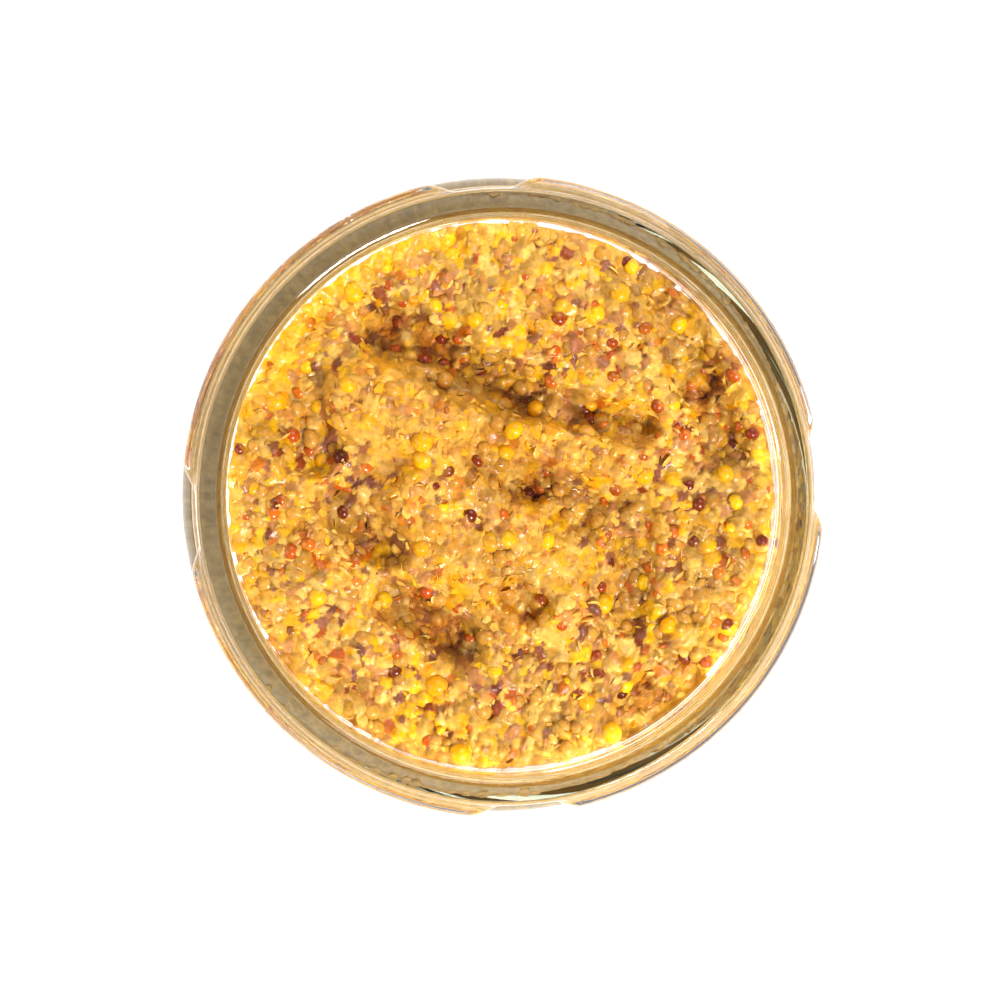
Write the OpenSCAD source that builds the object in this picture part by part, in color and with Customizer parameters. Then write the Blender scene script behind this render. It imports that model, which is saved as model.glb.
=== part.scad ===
// A glass jar of wholegrain mustard, open, with its lid taken off.
// The glass is one moulded solid: base, heel, body, shoulder and a lug finish.
// The mustard is one solid that fills the jar up to its spooned, uneven top.
// Millimetres, +Z up, origin at the middle of the face that the jar stands on.

/* [Jar] */
// Overall height, from the table to the top of the lip
jar_h = 80; // [64:1:120]
// Diameter of the body
body_d = 70.6; // [56:0.2:96]
// Thickness of the body's wall
wall = 2.1; // [1.6:0.1:3.5]
// Thickness of the glass in the base
base_t = 5; // [4:0.25:8]
// Radius of the heel, where the body turns under
heel_r = 6; // [4:0.5:8]
// Height of the hollow under the base
push_up_h = 1.6; // [0.8:0.2:2.5]
// Width of the flat ring that the jar stands on
foot_w = 4; // [2:0.5:6]

/* [Finish] */
// How far the lip stands in from the body
shoulder_in = 2; // [1:0.1:3.5]
// Thickness of the glass at the lip
lip_t = 3.2; // [2.4:0.1:4]
// Height of the finish, from the end of the shoulder to the top of the lip
finish_h = 10.5; // [9:0.5:13]
// Radius of the lip's outer edge
lip_edge_r = 0.5; // [0.3:0.1:1.2]
// Width of the flat land on top of the lip, which the lid's ring seals against
lip_land = 1.3; // [0.4:0.1:1.5]
// Number of lugs that the lid's claws would grip
lug_count = 4; // [3:1:6]
// Angle that one of four lugs spans, without its tapered ends
lug_arc = 74; // [20:1:76]
// Angle from +X to the middle of the first lug
lug_turn = 49; // [0:1:90]
// How far a lug stands out from the lip
lug_out = 1.6; // [1:0.1:1.8]
// Radius of a lug's rounded section
lug_r = 1.1; // [0.9:0.1:1.3]
// Depth of the lugs' middle line below the top of the lip
lug_depth = 3.6; // [3:0.1:5]
// Slope of a lug along its length, in degrees
lug_slope = 2.2; // [0:0.1:3]
// How far the transfer bead below the lugs stands out
bead_out = 0.7; // [0.3:0.1:1]
// Radius of the transfer bead's section
bead_r = 1.2; // [1:0.1:1.5]
// Depth of the bead's middle line below the top of the lip
bead_depth = 7.9; // [7.5:0.1:8.5]

/* [Mustard] */
// Mean depth of the mustard's top below the lip
headspace = 9; // [8:0.5:12]
// Height of the tallest ridge above the mean top
ridge_h = 3.5; // [1:0.1:3.8]
// Depth of the deepest furrow below the mean top
furrow_h = 3.2; // [1:0.1:3.5]
// Height of the mustard smeared up against the glass
smear_h = 1.2; // [0:0.1:2]

/* [Hidden] */
$fn = 120;
EPS = 0.01;

// Rows of lumps on the mustard: [waves across, direction, share of ridge_h]
LUMPS = [[4.3, 25, 0.11], [6.1, 140, 0.09], [9.7, 78, 0.06]];
lump_share = 0.26; // the three shares together

// Radii of the glass
body_r = body_d / 2;
lip_r = body_r - shoulder_in;
mouth_r = lip_r - lip_t;
cavity_r = body_r - wall;
foot_r = body_r - heel_r;
lip_bore_r = lip_t - lip_edge_r - lip_land; // round of the lip's inner edge

// The outer shoulder is an S of two arcs, and the inner one follows it
outer_bulge_r = 3.5;
outer_hollow_r = 2;
inner_bulge_r = 2.5;
inner_hollow_r = 4;
neck_z = jar_h - finish_h;
shoulder_z = neck_z - s_height(shoulder_in, outer_bulge_r, outer_hollow_r);
inner_step = cavity_r - mouth_r;
bore_end_z = jar_h - max(finish_h, headspace + furrow_h + lump_share * ridge_h + 0.3) - 0.6;
cavity_top_z = bore_end_z - s_height(inner_step, inner_bulge_r, inner_hollow_r);
cavity_floor_r = 4; // round where the wall meets the inside of the base

// The mustard's top. Its grid has rings of points from the middle to the glass
top_z = jar_h - headspace;
cap_z = bore_end_z + 0.1; // the filled cavity ends here and the spooned cap goes on
cap_gap = 0.04; // between the cap's facets and the bore
cap_r = mouth_r - cap_gap;
cap_sink = 0.4; // how deep the cap reaches into the fill below it
ring_count = 20;
spoke_count = 84;

// What the spoon left. Places and widths are shares of the mouth's radius, and
// heights are shares of ridge_h or furrow_h: [from x, from y, to x, to y, width, height]
RIDGES = [
    [-0.46, 0.34, -0.32, 0.33, 0.17, 0.85], // round back end of the tongue
    [-0.32, 0.32, -0.07, 0.22, 0.165, 1.00], // tall tongue left of the middle
    [-0.24, -0.03, 0.14, -0.32, 0.20, 0.75], // crest that runs on to the front
    [0.14, 0.22, 0.46, 0.14, 0.11, 0.60], // near bank of the long furrow
    [0.14, 0.64, 0.46, 0.48, 0.28, 0.42], // broad back of the spoon's sweep
    [-0.88, 0.08, -0.80, -0.08, 0.16, 0.45],
    [-0.66, -0.30, -0.54, -0.46, 0.18, 0.40],
    [0.64, -0.12, 0.70, -0.34, 0.17, 0.35],
    [-0.08, -0.78, 0.30, -0.78, 0.18, 0.20],
];
FURROWS = [
    [-0.40, 0.60, -0.20, 0.49, 0.11, 0.90], // hollow behind the tongue
    [-0.20, 0.47, 0.06, 0.37, 0.10, 1.00], // deep trough along the tongue
    [0.06, 0.36, 0.50, 0.25, 0.07, 0.95], // long narrow furrow
    [-0.72, 0.40, -0.69, 0.16, 0.09, 0.50],
    [-0.60, -0.04, -0.42, -0.18, 0.08, 0.65],
    [-0.40, -0.38, -0.14, -0.54, 0.08, 0.85],
    [-0.05, 0.16, 0.10, 0.06, 0.09, 0.75],
    [0.18, 0.04, 0.30, -0.06, 0.09, 0.50],
    [0.05, -0.36, 0.11, -0.40, 0.07, 0.85],
    [0.49, -0.06, 0.46, -0.42, 0.08, 0.65],
    [0.62, 0.70, 0.71, 0.44, 0.09, 0.80],
    [0.74, 0.38, 0.82, 0.18, 0.08, 0.65],
    [0.48, -0.80, 0.64, -0.66, 0.09, 0.75],
];

// Height of an S made of two tangent arcs of radii a and b that steps sideways by step
function s_height(step, a, b) = sqrt(step * (2 * (a + b) - step));

// Distance from point p to the segment that runs from a to b
function to_segment(p, a, b) =
    let (d = b - a, t = max(0, min(1, (p - a) * d / (d * d)))) norm(p - a - t * d);

// Sum of the smooth strokes at p, which is in shares of the mouth's radius
function strokes(list, p, i = 0) =
    i == len(list) ? 0
    : let (s = list[i], d = to_segment(p, [s[0], s[1]], [s[2], s[3]]) / s[4])
      s[5] * exp(-pow(d, 6)) + strokes(list, p, i + 1);

function lumps(p, i = 0) =
    i == len(LUMPS) ? 0
    : let (l = LUMPS[i], u = p * [cos(l[1]), sin(l[1])], v = p * [-sin(l[1]), cos(l[1])])
      l[2] * sin(180 * l[0] * u) * cos(150 * l[0] * v) + lumps(p, i + 1);

// Height of the mustard at p. Smears rise only in the last tenth before the glass
function mustard_z(p) =
    let (edge = max(0, (norm(p) - 0.9) / 0.1), side = 0.6 - 0.4 * p.x)
    top_z
    + ridge_h * min(1, strokes(RIDGES, p))
    - furrow_h * min(1, strokes(FURROWS, p))
    + ridge_h * lumps(p)
    + smear_h * edge * edge * side;

// Part of a profile: a solid of radius low_r up to z and of radius high_r above it,
// joined by an S, with the bulging arc a on the wide side and the hollow arc b on the other
module s_step(low_r, high_r, z, top, a, b) {
    step = low_r - high_r;
    end_z = z + s_height(step, a, b);
    bulge = [low_r - a, z];
    hollow = [high_r + b, end_z];
    translate([0, z - EPS]) square([high_r, top - z + EPS]);
    intersection() {
        translate(bulge) circle(a);
        square([low_r, top]);
    }
    difference() {
        polygon([[0, z], bulge, hollow, [high_r - EPS, end_z], [0, end_z]]);
        translate(hollow) circle(b);
    }
}

// What a round edge of radius r takes off a corner at p. turn says which way the corner points
module corner_cut(p, r, turn) {
    translate(p) rotate(turn) difference() {
        translate([-r, -r]) square(r + EPS);
        translate([-r, -r]) circle(r);
    }
}

// Half of the jar's outer shape
module outer_profile() {
    difference() {
        union() {
            square([body_r, shoulder_z]);
            s_step(body_r, lip_r, shoulder_z, jar_h, outer_bulge_r, outer_hollow_r);
        }
        corner_cut([body_r, 0], heel_r, -90);
        corner_cut([lip_r, jar_h], lip_edge_r, 0);
    }
}

// Half of the hollow inside, which the mustard fills too
module cavity_profile(top) {
    difference() {
        union() {
            translate([0, base_t]) square([cavity_r, cavity_top_z - base_t]);
            s_step(cavity_r, mouth_r, cavity_top_z, top, inner_bulge_r, inner_hollow_r);
        }
        corner_cut([cavity_r, base_t], cavity_floor_r, -90);
    }
}

// The lip's inner edge is rounded like the outer one
module lip_opening() {
    translate([mouth_r - EPS, jar_h - lip_bore_r]) difference() {
        square([lip_bore_r + EPS, lip_bore_r + EPS]);
        translate([lip_bore_r + EPS, 0]) circle(lip_bore_r);
    }
}

// The hollow under the base is a shallow part of a ball
module push_up() {
    hollow_r = foot_r - foot_w;
    ball_r = (hollow_r * hollow_r + push_up_h * push_up_h) / (2 * push_up_h);
    intersection() {
        translate([0, 0, push_up_h - ball_r]) sphere(ball_r, $fn = 240);
        translate([0, 0, -EPS]) cylinder(h = push_up_h + 1, r = hollow_r + 1);
    }
}

// One lug: a rounded bar that follows the lip, with ends that taper into it
module lug() {
    path_r = lip_r + lug_out - lug_r;
    arc = lug_arc * 4 / max(4, lug_count);
    translate([0, 0, jar_h - lug_depth]) rotate([lug_slope, 0, 0]) rotate(-arc / 2) {
        rotate_extrude(angle = arc) translate([path_r, 0]) circle(lug_r, $fn = 32);
        for (end = [0, 1]) rotate(end * arc) mirror([0, 1 - end, 0]) translate([path_r, -0.1, 0])
            rotate([-90, 0, 14]) cylinder(h = 4 * lug_r, r1 = 0.96 * lug_r, r2 = 0.3 * lug_r, $fn = 32);
    }
}

module transfer_bead() {
    rotate_extrude() translate([lip_r + bead_out - bead_r, jar_h - bead_depth]) circle(bead_r, $fn = 32);
}

module glass_jar() {
    color([0.80, 0.86, 0.80, 0.4]) difference() {
        union() {
            rotate_extrude() difference() {
                outer_profile();
                cavity_profile(jar_h + 1);
                lip_opening();
            }
            difference() {
                union() {
                    for (i = [0:lug_count - 1]) rotate(lug_turn + i * 360 / lug_count) lug();
                    transfer_bead();
                }
                cylinder(h = jar_h + 1, r = lip_r - lip_t / 2);
            }
        }
        push_up();
    }
}

// The spooned top, from just inside the fill up to the surface, as rings of points
module spooned_cap() {
    ring = [for (j = [0:spoke_count - 1]) [cos(360 * j / spoke_count), sin(360 * j / spoke_count)]];
    last = 1 + ring_count * spoke_count;
    points = [
        [0, 0, mustard_z([0, 0])],
        for (i = [1:ring_count], j = [0:spoke_count - 1])
            let (p = ring[j] * i / ring_count) [cap_r * p.x, cap_r * p.y, mustard_z(p)],
        for (j = [0:spoke_count - 1]) [cap_r * ring[j].x, cap_r * ring[j].y, cap_z - cap_sink],
        [0, 0, cap_z - cap_sink],
    ];
    function at(i, j) = 1 + (i - 1) * spoke_count + j % spoke_count;
    faces = [
        for (j = [0:spoke_count - 1]) [0, at(1, j + 1), at(1, j)],
        for (i = [1:ring_count], j = [0:spoke_count - 1])
            each [[at(i, j), at(i, j + 1), at(i + 1, j)], [at(i + 1, j), at(i, j + 1), at(i + 1, j + 1)]],
        for (j = [0:spoke_count - 1]) [last + spoke_count, at(ring_count + 1, j), at(ring_count + 1, j + 1)],
    ];
    polyhedron(points, faces, convexity = 8);
}

module mustard() {
    color([0.83, 0.58, 0.20]) {
        rotate_extrude() intersection() {
            cavity_profile(jar_h);
            square([cavity_r + 1, cap_z]);
        }
        spooned_cap();
    }
}

glass_jar();
mustard();
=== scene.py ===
# %% [markdown]
# # A jar of wholegrain mustard
# This lesson builds a small round glass jar, open at the top and full of coarse
# mustard. The construction model fixes every size, and this file adds the looks:
# clear moulded glass, and a paste crowded with whole, cut and broken seeds.
# Lengths are worked out in millimetres and become metres when a mesh is made.

import bpy
import numpy as np
from mathutils import Matrix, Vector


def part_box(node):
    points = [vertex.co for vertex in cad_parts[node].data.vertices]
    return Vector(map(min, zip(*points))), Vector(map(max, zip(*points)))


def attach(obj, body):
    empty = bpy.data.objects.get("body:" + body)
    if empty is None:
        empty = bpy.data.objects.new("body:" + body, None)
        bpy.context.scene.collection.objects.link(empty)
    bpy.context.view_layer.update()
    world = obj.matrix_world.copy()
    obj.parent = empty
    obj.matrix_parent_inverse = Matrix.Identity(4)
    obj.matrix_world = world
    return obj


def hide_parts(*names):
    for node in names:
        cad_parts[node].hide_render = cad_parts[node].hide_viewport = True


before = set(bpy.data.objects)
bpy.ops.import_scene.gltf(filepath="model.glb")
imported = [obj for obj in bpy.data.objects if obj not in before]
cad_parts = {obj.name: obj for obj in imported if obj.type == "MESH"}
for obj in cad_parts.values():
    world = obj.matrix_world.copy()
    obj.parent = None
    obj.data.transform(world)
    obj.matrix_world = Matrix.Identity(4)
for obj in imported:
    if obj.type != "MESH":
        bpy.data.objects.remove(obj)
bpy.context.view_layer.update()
MM = 0.001
jar_low, jar_high = (np.array(corner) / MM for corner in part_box("glass_jar"))
fill_low, fill_high = (np.array(corner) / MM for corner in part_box("mustard"))
print("jar, mm:", jar_low.round(2), jar_high.round(2))
print("mustard, mm:", fill_low.round(2), fill_high.round(2))

# %% [markdown]
# ## Sizes
# The jar's outline is a chain of straight lines and arcs. The overall sizes come
# from the frame, and the small ones, such as the roundness of the lip, are those
# of a common jar that takes a quarter-turn lid.

# %% Sizes of the jar and its filling, in millimetres
JAR_H = round(jar_high[2], 1)
BODY_R = float(np.floor(100 * np.abs(np.append(jar_low[:2], jar_high[:2])).min()) / 100)
CAVITY_R = round(fill_high[0], 1)
BASE_T = round(fill_low[2], 1)
SHOULDER_IN = 2.0
LIP_R = BODY_R - SHOULDER_IN
LIP_T = 3.2
MOUTH_R = LIP_R - LIP_T
HEEL_R = 6.0
FOOT_W = 4.0
PUSH_UP_H = 1.6
FLOOR_ROUND_R = 4.0
FINISH_H = 10.5
LIP_EDGE_R = 0.5
LIP_LAND = 1.3
HEADSPACE = 9.0
TOP_Z = JAR_H - HEADSPACE
RIDGE_H = 3.5
FURROW_H = 3.2
SMEAR_H = 1.2
LUMP_SHARE = 0.26
SPARE = 0.3  # room under the deepest furrow
BORE_PAST = 0.6  # the straight bore runs this far past that room
BORE_END_Z = JAR_H - (HEADSPACE + FURROW_H + LUMP_SHARE * RIDGE_H + SPARE) - BORE_PAST
print("body radius", BODY_R, "mouth radius", MOUTH_R, "bore ends at", round(BORE_END_Z, 2))

# %% [markdown]
# ## From arrays to meshes
# Every new surface here is a block of numbers first. One helper turns points and
# faces into a piece, and another gives the faces of a rectangular sheet of
# points. Setting whole blocks at once is much faster than adding points singly.

# %% Helpers that make pieces
rng = np.random.default_rng(7)


def soft(low, high, t):
    """Smooth step from 0 at low to 1 at high, where low may be the larger."""
    s = np.clip((t - low) / (high - low), 0, 1)
    return s * s * (3 - 2 * s)


def sheet_faces(rows, columns, start=0, wrap=True):
    """Quads of a sheet whose point (i, j) is start + i * columns + j.
    With wrap, the last column joins the first."""
    i, j = np.meshgrid(np.arange(rows - 1), np.arange(columns if wrap else columns - 1), indexing="ij")
    a, b = start + i * columns + j, start + i * columns + (j + 1) % columns
    return np.stack([a, b, b + columns, a + columns], axis=-1).reshape(-1, 4)


def fan_faces(tip, ring, turn=False):
    """Triangles from the point tip to each edge of a closed ring of points."""
    nxt = np.roll(ring, -1)
    pair = (nxt, ring) if turn else (ring, nxt)
    return np.stack([np.full(len(ring), tip), *pair], axis=-1)


def make_piece(name, points, faces, material, smooth=True, **attributes):
    """A mesh object from points in millimetres and a list of arrays of triangles and quads.
    Each attribute is one colour per point."""
    mesh = bpy.data.meshes.new(name)
    mesh.vertices.add(len(points))
    mesh.vertices.foreach_set("co", (np.asarray(points) * MM).astype(np.float32).ravel())
    sizes = np.concatenate([np.full(len(f), f.shape[1]) for f in faces])
    corners = np.concatenate([f.ravel() for f in faces]).astype(np.int32)
    mesh.loops.add(len(corners))
    mesh.loops.foreach_set("vertex_index", corners)
    mesh.polygons.add(len(sizes))
    mesh.polygons.foreach_set("loop_start", (np.cumsum(sizes) - sizes).astype(np.int32))
    mesh.polygons.foreach_set("use_smooth", np.full(len(sizes), smooth))
    mesh.update(calc_edges=True)
    mesh.validate()
    for key, colours in attributes.items():
        layer = mesh.color_attributes.new(key, "FLOAT_COLOR", "POINT")
        rgba = np.ones((len(points), 4), np.float32)
        rgba[:, :colours.shape[1]] = colours
        layer.data.foreach_set("color", rgba.ravel())
    mesh.materials.append(material)
    piece = bpy.data.objects.new(name, mesh)
    bpy.context.scene.collection.objects.link(piece)
    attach(piece, "root")
    print(f"{name}: {len(points)} points, {int((sizes - 2).sum())} triangles")
    return piece


def arc(middle, radius, start, end, count):
    """Points of an arc in the (radius, height) plane, with angles in degrees."""
    t = np.radians(np.linspace(start, end, count))
    return np.stack([middle[0] + radius * np.cos(t), middle[1] + radius * np.sin(t)], axis=-1)


def line(start, end, count):
    """Evenly spaced points from start to end, without the end."""
    t = np.linspace(0, 1, count, endpoint=False)[:, None]
    return np.array(start) * (1 - t) + np.array(end) * t


def curve_rise(step, bulge_r, hollow_r):
    """Height of two tangent arcs that lead inwards by step."""
    return np.sqrt(step * (2 * (bulge_r + hollow_r) - step))


def s_curve(low_r, high_r, z, bulge_r, hollow_r, count):
    """Two tangent arcs that lead from radius low_r at height z up to radius high_r."""
    step = low_r - high_r
    rise = curve_rise(step, bulge_r, hollow_r)
    turn = np.degrees(np.arctan2(rise, bulge_r + hollow_r - step))
    return np.vstack([
        arc((low_r - bulge_r, z), bulge_r, 0, turn, count)[:-1],
        arc((high_r + hollow_r, z + rise), hollow_r, 180 + turn, 180, count),
    ])

# %% [markdown]
# ## Glass
# Jar glass is soda-lime: clear, with a faint green that shows where light runs
# a long way inside it, as in a lip seen from above. A glass shader bends the
# light, and a volume absorbs a little of it per metre, so thick glass is greener
# by itself. Lamps are let straight through with a transparent shader, since the
# bent light of small lamps would otherwise be lost as noise.

# %% Material of the glass


def new_material(name):
    """An empty node material with its output, and a function that adds a node to it."""
    material = bpy.data.materials.new(name)
    material.use_nodes = True
    tree = material.node_tree
    tree.nodes.clear()

    def add(kind, **values):
        node = tree.nodes.new(kind)
        for key, value in values.items():
            if hasattr(node, key):
                setattr(node, key, value)
            else:
                node.inputs[key.replace("_", " ")].default_value = value
        return node

    return material, tree, add, add("ShaderNodeOutputMaterial")


def clear_material(name, ior, surface, lamp_light, absorbed, density):
    """Something see-through: surface tints what is seen, lamp_light what lamps send through,
    and the volume takes 1 - absorbed of each colour away at the density's rate per metre."""
    material, tree, add, out = new_material(name)
    body = add("ShaderNodeBsdfPrincipled", Base_Color=(*surface, 1), Roughness=0.0, IOR=ior,
               Transmission_Weight=1.0)
    clear = add("ShaderNodeBsdfTransparent", Color=(*lamp_light, 1))
    path = add("ShaderNodeLightPath")
    mix = add("ShaderNodeMixShader")
    tint = add("ShaderNodeVolumeAbsorption", Color=(*absorbed, 1), Density=density)
    tree.links.new(path.outputs["Is Shadow Ray"], mix.inputs[0])
    tree.links.new(body.outputs[0], mix.inputs[1])
    tree.links.new(clear.outputs[0], mix.inputs[2])
    tree.links.new(mix.outputs[0], out.inputs["Surface"])
    tree.links.new(tint.outputs[0], out.inputs["Volume"])
    return material


glass = clear_material("jar_glass", 1.52, (1, 1, 1), (0.95, 0.96, 0.94), (0.56, 0.57, 0.44), 28.0)

# %% [markdown]
# ## The jar
# A jar is blown into a mould, so it is a turned form: one outline carried round
# the axis. Only the lugs break the roundness. They are four low, slightly
# sloping bars round the lip, which the claws of the lid ride under. Here the
# outline is a list of points, and the lugs are a swelling of the neck that
# depends on both the angle and the height.

# %% Outline of the jar
SHOULDER_RADII = (3.5, 2.0)  # of its bulge and its hollow, outside
INNER_RADII = (2.5, 4.0)  # the same, inside
foot_r = BODY_R - HEEL_R
hollow_r = foot_r - FOOT_W
ball_r = (hollow_r ** 2 + PUSH_UP_H ** 2) / (2 * PUSH_UP_H)
neck_z = JAR_H - FINISH_H
shoulder_z = neck_z - curve_rise(SHOULDER_IN, *SHOULDER_RADII)
lip_bore_r = LIP_T - LIP_EDGE_R - LIP_LAND

half_angle = np.degrees(np.arcsin(hollow_r / ball_r))
under = arc((0, PUSH_UP_H - ball_r), ball_r, 90, 90 - half_angle, 14)[1:]
heel = arc((foot_r, HEEL_R), HEEL_R, -90, 0, 14)
body_side = line((BODY_R, HEEL_R), (BODY_R, shoulder_z), 12)[1:]
shoulder = s_curve(BODY_R, LIP_R, shoulder_z, *SHOULDER_RADII, 12)
neck = line((LIP_R, neck_z), (LIP_R, JAR_H - LIP_EDGE_R), 64)[1:]
lip = np.vstack([
    arc((LIP_R - LIP_EDGE_R, JAR_H - LIP_EDGE_R), LIP_EDGE_R, 0, 90, 9),
    arc((MOUTH_R + lip_bore_r, JAR_H - lip_bore_r), lip_bore_r, 90, 180, 11),
])
cavity_top = BORE_END_Z - curve_rise(CAVITY_R - MOUTH_R, *INNER_RADII)
inner_shoulder = s_curve(CAVITY_R, MOUTH_R, cavity_top, *INNER_RADII, 10)
floor_z = BASE_T + FLOOR_ROUND_R
floor_round = arc((CAVITY_R - FLOOR_ROUND_R, floor_z), FLOOR_ROUND_R, 0, -90, 10)
bore = line((MOUTH_R, JAR_H - lip_bore_r), (MOUTH_R, BORE_END_Z), 8)[1:]
outline = np.vstack([
    under, heel, body_side, shoulder, neck, lip, bore,
    inner_shoulder[::-1], line((CAVITY_R, cavity_top), (CAVITY_R, floor_z), 12)[1:],
    floor_round, line((CAVITY_R - FLOOR_ROUND_R, BASE_T), (0, BASE_T), 6)[1:],
])
print("outline points:", len(outline), "height", outline[:, 1].max())

# %% The jar as a turned form with lugs
LUG_OUT, LUG_R, LUG_DEPTH, LUG_ARC, LUG_TURN, LUG_SLOPE = 1.6, 1.1, 3.6, 74.0, 49.0, 2.2
LUG_END, LUG_TAPER = 4.5, 7.0  # how far, in degrees, a lug's end runs on, and how long its taper is
BEAD_OUT, BEAD_R, BEAD_DEPTH = 0.7, 1.2, 7.9


def bar(height, middle, out, radius):
    """How far a rounded bar stands out from the neck at each height: a circle of the radius,
    whose outermost point is out beyond the neck."""
    return out - radius + np.sqrt(np.maximum(radius ** 2 - (height - middle) ** 2, 0))


def along_lug(angle):
    """How whole a lug is at each angle, from 1 to 0 past its ends, and how far its slope lifts it there."""
    turn = (angle - LUG_TURN + 45) % 90 - 45
    ends = soft(0, LUG_TAPER, LUG_ARC / 2 + LUG_END - np.abs(turn))
    return ends, LIP_R * np.sin(np.radians(turn)) * np.tan(np.radians(LUG_SLOPE))


def neck_swelling(angle, height):
    """Outward swelling of the neck. The lugs fade at their ends, and a soft maximum joins all to the neck."""
    ends, lift = along_lug(angle)
    lug = bar(height, JAR_H - LUG_DEPTH + lift, LUG_OUT, LUG_R) * ends
    bead = bar(height, JAR_H - BEAD_DEPTH, BEAD_OUT, BEAD_R)
    tall = np.maximum(lug, bead)
    return 0.5 * (tall + np.sqrt(tall ** 2 + 0.03)) - 0.02


def jar_points(columns):
    """The outline carried round the axis. Only the outer neck takes the swelling."""
    angle = np.linspace(0, 360, columns, endpoint=False)
    radius, height = (np.repeat(outline[:, k, None], columns, axis=1) for k in (0, 1))
    outer = np.zeros(len(outline), bool)
    first = len(under) + len(heel) + len(body_side) + len(shoulder)
    outer[first:first + len(neck)] = True
    ends, lift = along_lug(angle[None, :])
    depth = JAR_H - height
    by_lug = soft(7.1, 5.1, depth) * soft(0.55, 2.0, depth) * outer[:, None]  # 0 at the bead and lip
    height = height + lift * ends * by_lug  # rows climb with the lugs, so that none cuts across one
    swell = neck_swelling(angle[None, :], height) * outer[:, None]
    neck_fade = np.clip((height - neck_z) / 0.6, 0, 1)
    lip_fade = np.clip((JAR_H - LIP_EDGE_R - height) / 0.4, 0, 1)
    fade = neck_fade * lip_fade
    radius = radius + swell * fade
    around = np.radians(angle)[None, :]
    points = np.stack([radius * np.cos(around), radius * np.sin(around), height], axis=-1)
    return points.reshape(-1, 3)


JAR_COLUMNS = 288
rings = jar_points(JAR_COLUMNS)
row_count = len(outline)
tips = np.array([[0, 0, PUSH_UP_H], [0, 0, BASE_T]])
last_ring = np.arange(JAR_COLUMNS) + (row_count - 1) * JAR_COLUMNS
jar = make_piece(
    "glass_jar_clear", np.vstack([rings, tips]),
    [
        sheet_faces(row_count, JAR_COLUMNS),
        fan_faces(len(rings), np.arange(JAR_COLUMNS), turn=True),
        fan_faces(len(rings) + 1, last_ring),
    ],
    glass,
)
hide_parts("glass_jar")

# %% [markdown]
# ## The spooned top
# Wholegrain mustard is stiff enough to keep the marks of a spoon. Its large
# shape is a short list of strokes, each a ridge or a furrow with a place, a
# width and a height, the same list that the construction model uses. Smaller
# unevenness comes from waves with random directions, which never repeat.

# %% Height of the mustard before its grains
# Each row: from x, from y, to x, to y and width, in shares of the mouth's radius, and then its height
RIDGES = np.array([
    [-0.46, 0.34, -0.32, 0.33, 0.17, 0.85],
    [-0.32, 0.32, -0.07, 0.22, 0.165, 1.00],
    [-0.24, -0.03, 0.14, -0.32, 0.20, 0.75],
    [0.14, 0.22, 0.46, 0.14, 0.11, 0.60],
    [0.14, 0.64, 0.46, 0.48, 0.28, 0.42],
    [-0.88, 0.08, -0.80, -0.08, 0.16, 0.45],
    [-0.66, -0.30, -0.54, -0.46, 0.18, 0.40],
    [0.64, -0.12, 0.70, -0.34, 0.17, 0.35],
    [-0.08, -0.78, 0.30, -0.78, 0.18, 0.20],
])
FURROWS = np.array([
    [-0.40, 0.60, -0.20, 0.49, 0.11, 0.90],
    [-0.20, 0.47, 0.06, 0.37, 0.10, 1.00],
    [0.06, 0.36, 0.50, 0.25, 0.07, 0.95],
    [-0.72, 0.40, -0.69, 0.16, 0.09, 0.50],
    [-0.60, -0.04, -0.42, -0.18, 0.08, 0.65],
    [-0.40, -0.38, -0.14, -0.54, 0.08, 0.85],
    [-0.05, 0.16, 0.10, 0.06, 0.09, 0.75],
    [0.18, 0.04, 0.30, -0.06, 0.09, 0.50],
    [0.05, -0.36, 0.11, -0.40, 0.07, 0.85],
    [0.49, -0.06, 0.46, -0.42, 0.08, 0.65],
    [0.62, 0.70, 0.71, 0.44, 0.09, 0.80],
    [0.74, 0.38, 0.82, 0.18, 0.08, 0.65],
    [0.48, -0.80, 0.64, -0.66, 0.09, 0.75],
])
LUMPS = np.array([[4.3, 25, 0.11], [6.1, 140, 0.09], [9.7, 78, 0.06]])


def strokes(table, px, py):
    """Sum of smooth strokes: each one's height times exp(-(distance / width) ** 6)."""
    total = np.zeros_like(px)
    for ax, ay, bx, by, width, height in table:
        dx, dy = bx - ax, by - ay
        t = np.clip(((px - ax) * dx + (py - ay) * dy) / (dx * dx + dy * dy), 0, 1)
        away = np.hypot(px - ax - t * dx, py - ay - t * dy) / width
        total += height * np.exp(-away ** 6)
    return total


def waves(x, y, size, seed, count=9):
    """Random unevenness: a sum of sine waves about size millimetres long, in random directions."""
    draw = np.random.default_rng(seed)
    angle, phase = draw.uniform(0, 2 * np.pi, (2, count))
    number = 2 * np.pi / (size * draw.uniform(0.7, 1.4, count))
    total = np.zeros_like(x)
    for a, p, k in zip(angle, phase, number):
        total += np.sin(k * (x * np.cos(a) + y * np.sin(a)) + p)
    return total / np.sqrt(count / 2)


def spooned_z(x, y):
    """Height of the stirred surface: the mean level plus ridges, furrows, lumps and a smear up the glass."""
    px, py = x / MOUTH_R, y / MOUTH_R
    lumps = np.zeros_like(px)
    for number, turn, share in LUMPS:
        a = np.radians(turn)
        u, v = px * np.cos(a) + py * np.sin(a), -px * np.sin(a) + py * np.cos(a)
        lumps += share * np.sin(np.pi * number * u) * np.cos(np.pi * number * v / 1.2)
    edge = np.clip((np.hypot(px, py) - 0.9) / 0.1, 0, 1)
    return (
        TOP_Z + RIDGE_H * np.minimum(1, strokes(RIDGES, px, py))
        - FURROW_H * np.minimum(1, strokes(FURROWS, px, py))
        + RIDGE_H * lumps + SMEAR_H * edge ** 2 * (0.6 - 0.4 * px)
        + 0.16 * waves(x, y, 3.4, 11) + 0.07 * waves(x, y, 1.7, 12)
    )


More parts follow.
